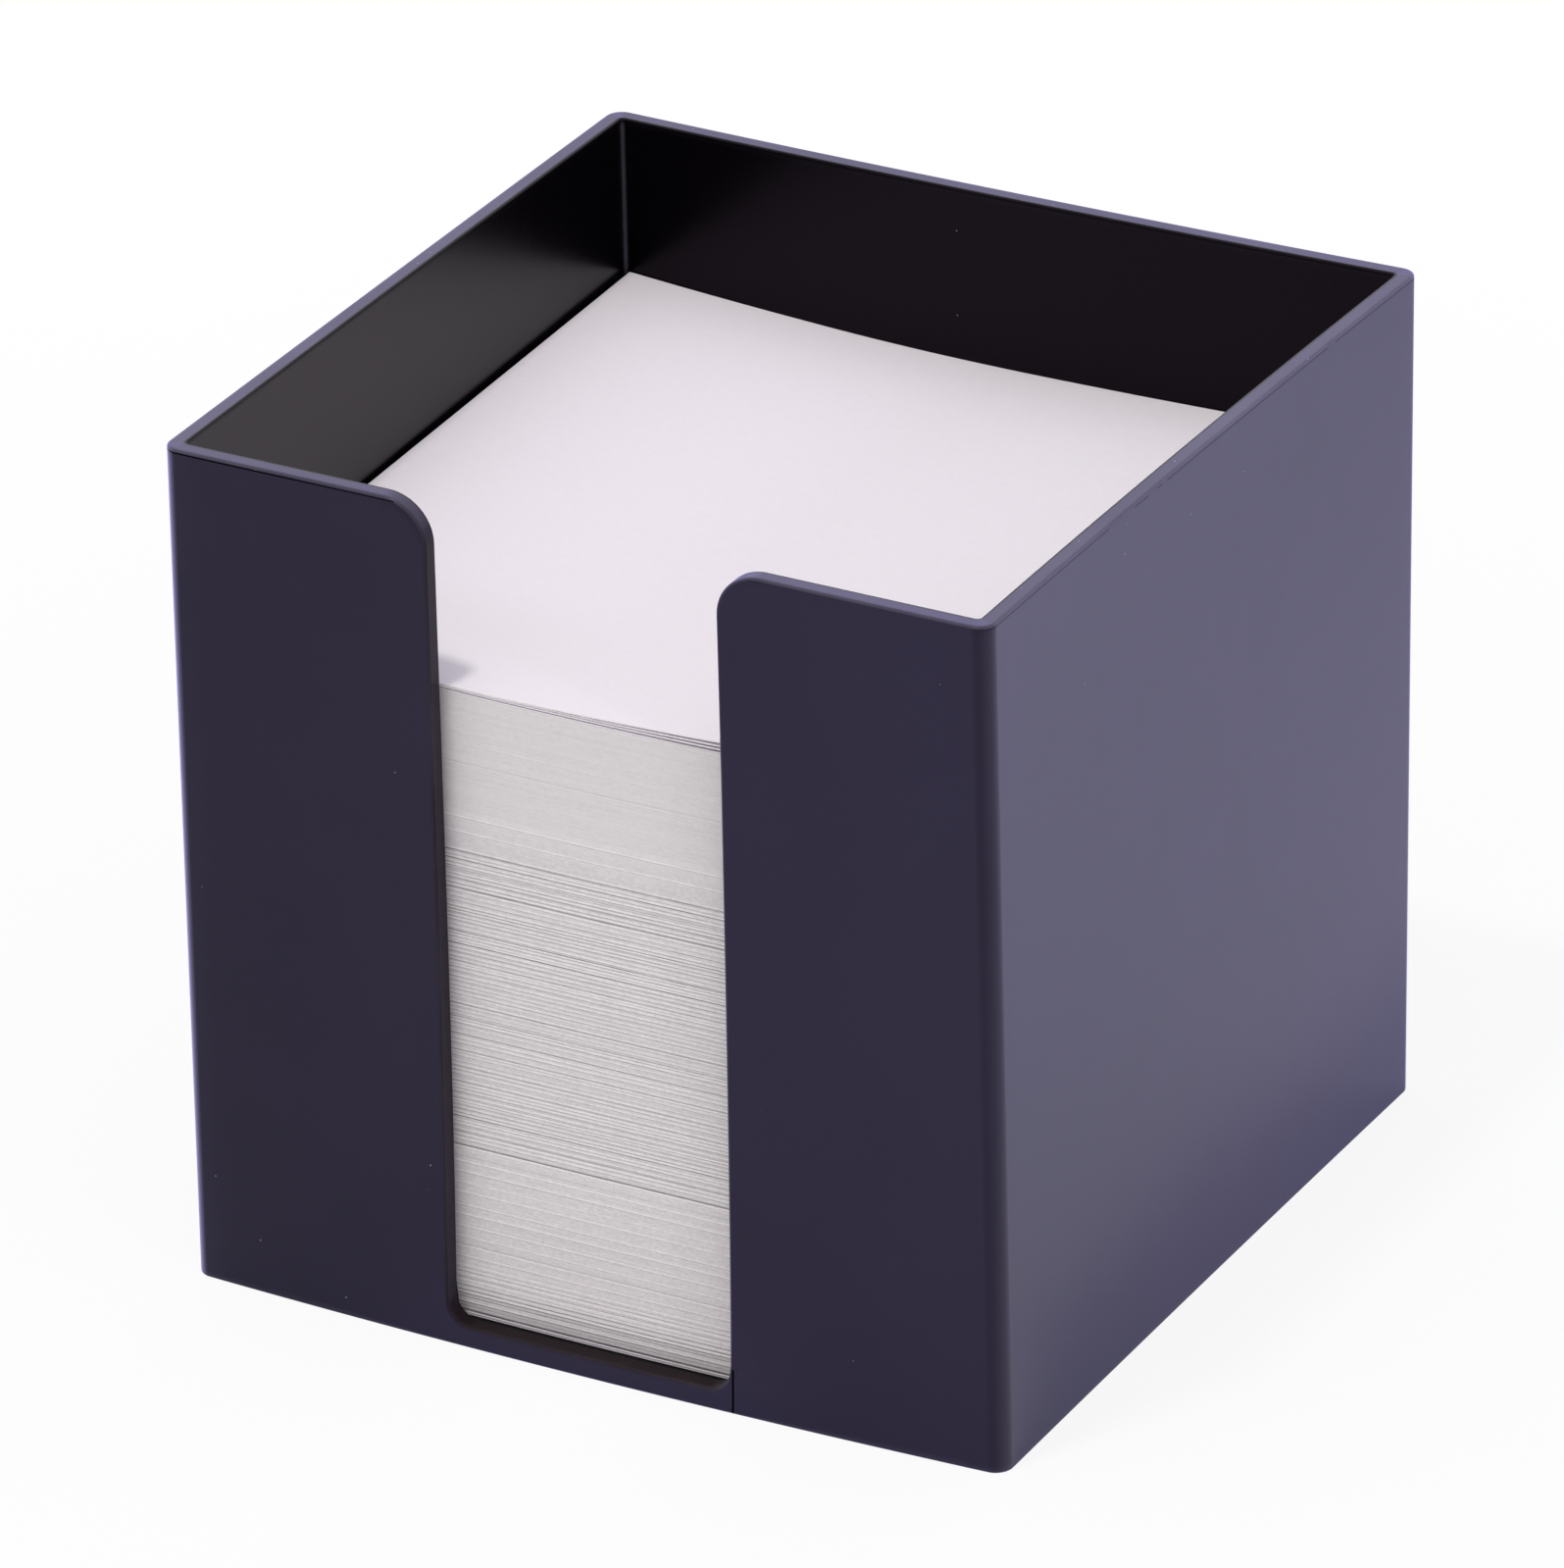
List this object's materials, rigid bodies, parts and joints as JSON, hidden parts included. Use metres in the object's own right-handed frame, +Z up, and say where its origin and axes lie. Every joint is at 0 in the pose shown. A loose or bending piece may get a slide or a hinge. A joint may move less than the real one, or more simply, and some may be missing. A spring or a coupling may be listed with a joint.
{
  "type": "memo box",
  "caption": "Open-topped square desk box of moulded plastic with a finger slot in its front wall, holding a stack of loose square note sheets that lift out.",
  "frame": {"origin": "centre of the box's base, on the surface that it stands on", "axes": "+Z up; -Y is the side with the finger slot; +X to the right as seen from the slot"},
  "size_m": [0.095, 0.095, 0.095],
  "materials": {
    "box_plastic": "satin",
    "note_paper": "matte"
  },
  "bodies": {
    "box": {"housing": "box_plastic"},
    "lower_pack": {"bottom_sheet_1": "note_paper", "bottom_sheet_2": "note_paper", "lower_sheaf_1": "note_paper", "lower_sheaf_2": "note_paper", "lower_sheaf_3": "note_paper", "lower_sheaf_4": "note_paper", "lower_sheaf_5": "note_paper", "lower_sheaf_6": "note_paper"},
    "middle_pack": {"middle_sheaf_1": "note_paper", "middle_sheaf_2": "note_paper", "middle_sheaf_3": "note_paper", "middle_sheaf_4": "note_paper", "middle_sheaf_5": "note_paper", "middle_sheaf_6": "note_paper", "middle_sheaf_7": "note_paper", "middle_sheaf_8": "note_paper", "middle_sheaf_9": "note_paper", "middle_sheaf_10": "note_paper"},
    "upper_pack": {"upper_sheaf_1": "note_paper", "upper_sheaf_2": "note_paper", "upper_sheaf_3": "note_paper", "upper_sheaf_4": "note_paper", "upper_sheaf_5": "note_paper"},
    "third_sheet": {"third_sheet": "note_paper"},
    "second_sheet": {"second_sheet": "note_paper"},
    "top_sheet": {"top_sheet": "note_paper"}
  },
  "joints": [
    {"name": "lower_pack_lift", "type": "slide", "parent": "box", "child": "lower_pack", "axis": [0, 0, 1], "range_m": [0, 0.1]},
    {"name": "middle_pack_lift", "type": "slide", "parent": "lower_pack", "child": "middle_pack", "axis": [0, 0, 1], "range_m": [0, 0.08]},
    {"name": "upper_pack_lift", "type": "slide", "parent": "middle_pack", "child": "upper_pack", "axis": [0, 0, 1], "range_m": [0, 0.045]},
    {"name": "third_sheet_lift", "type": "slide", "parent": "upper_pack", "child": "third_sheet", "axis": [0, 0, 1], "range_m": [0, 0.03]},
    {"name": "second_sheet_lift", "type": "slide", "parent": "third_sheet", "child": "second_sheet", "axis": [0, 0, 1], "range_m": [0, 0.03]},
    {"name": "top_sheet_lift", "type": "slide", "parent": "second_sheet", "child": "top_sheet", "axis": [0, 0, 1], "range_m": [0, 0.03]}
  ]
}
